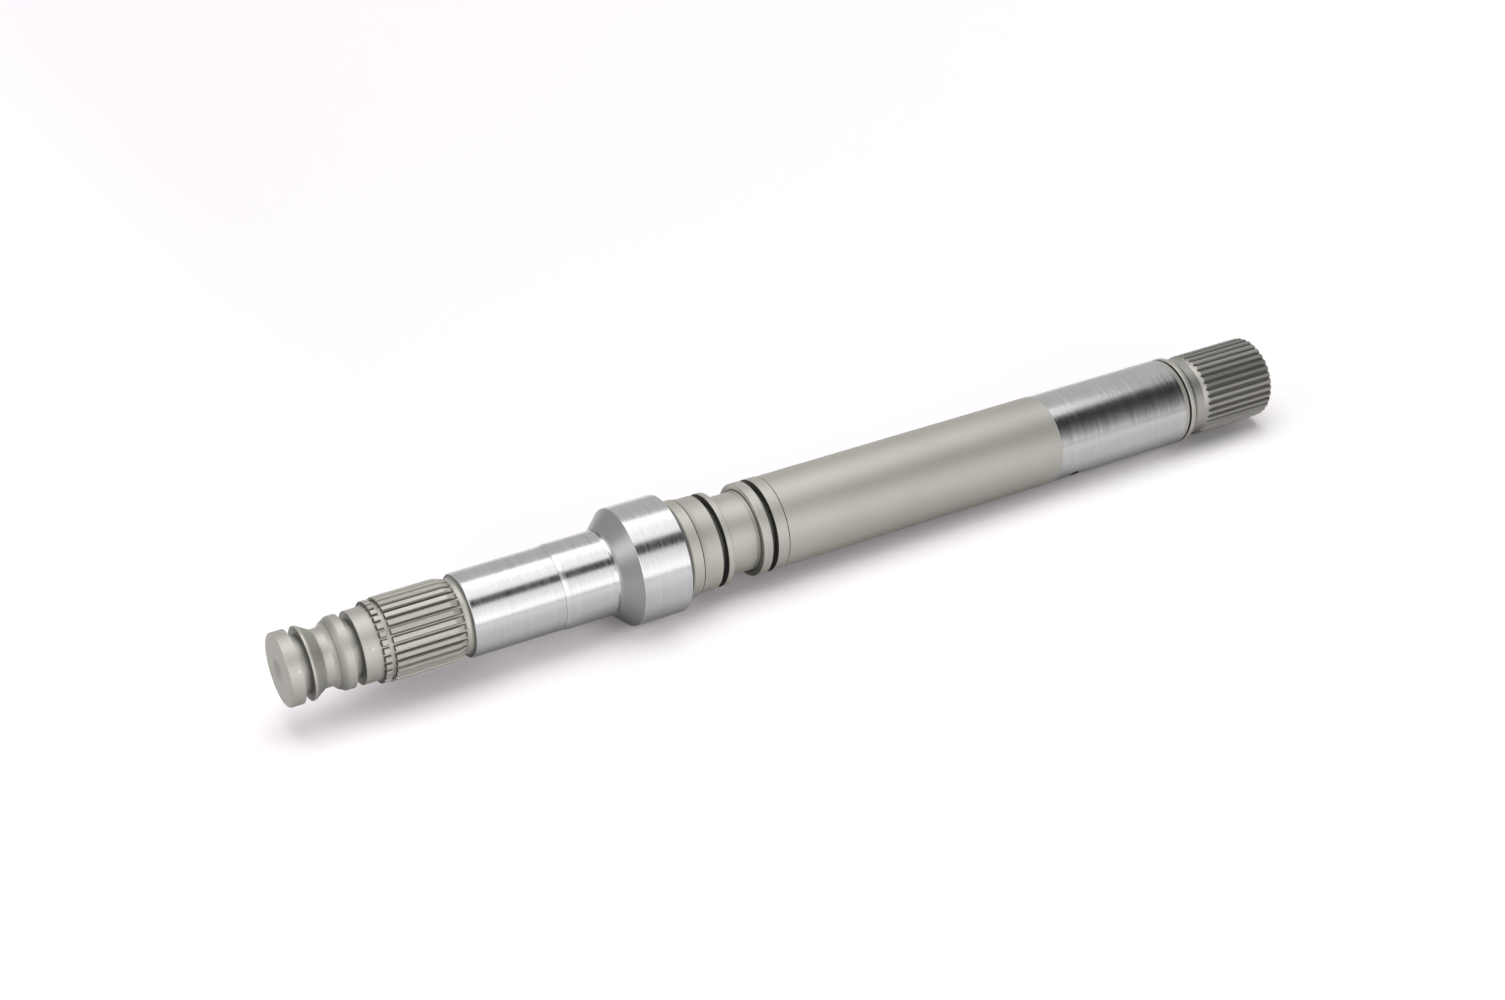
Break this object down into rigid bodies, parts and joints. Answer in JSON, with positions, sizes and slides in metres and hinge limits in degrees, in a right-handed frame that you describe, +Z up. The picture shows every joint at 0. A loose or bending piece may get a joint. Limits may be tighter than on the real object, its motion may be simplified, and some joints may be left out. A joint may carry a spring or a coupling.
{
  "type": "transmission input shaft",
  "caption": "Long slim steel input shaft: grooved pilot end, toothed front spline, ground journals, coned flange, sealing ring grooves, plain body and toothed rear spline.",
  "frame": {"origin": "on the shaft's axis, at the middle of the flange's ground rim", "axes": "+X along the shaft from the pilot end to the rear spline, +Z up, +Y away from the camera's side"},
  "size_m": [0.4231, 0.045, 0.045],
  "materials": {
    "steel": "bare alloy steel: blasted matte between the ground journals, satin ground with fine circumferential lines on them"
  },
  "bodies": {
    "root": {"input_shaft": "steel"}
  },
  "joints": []
}
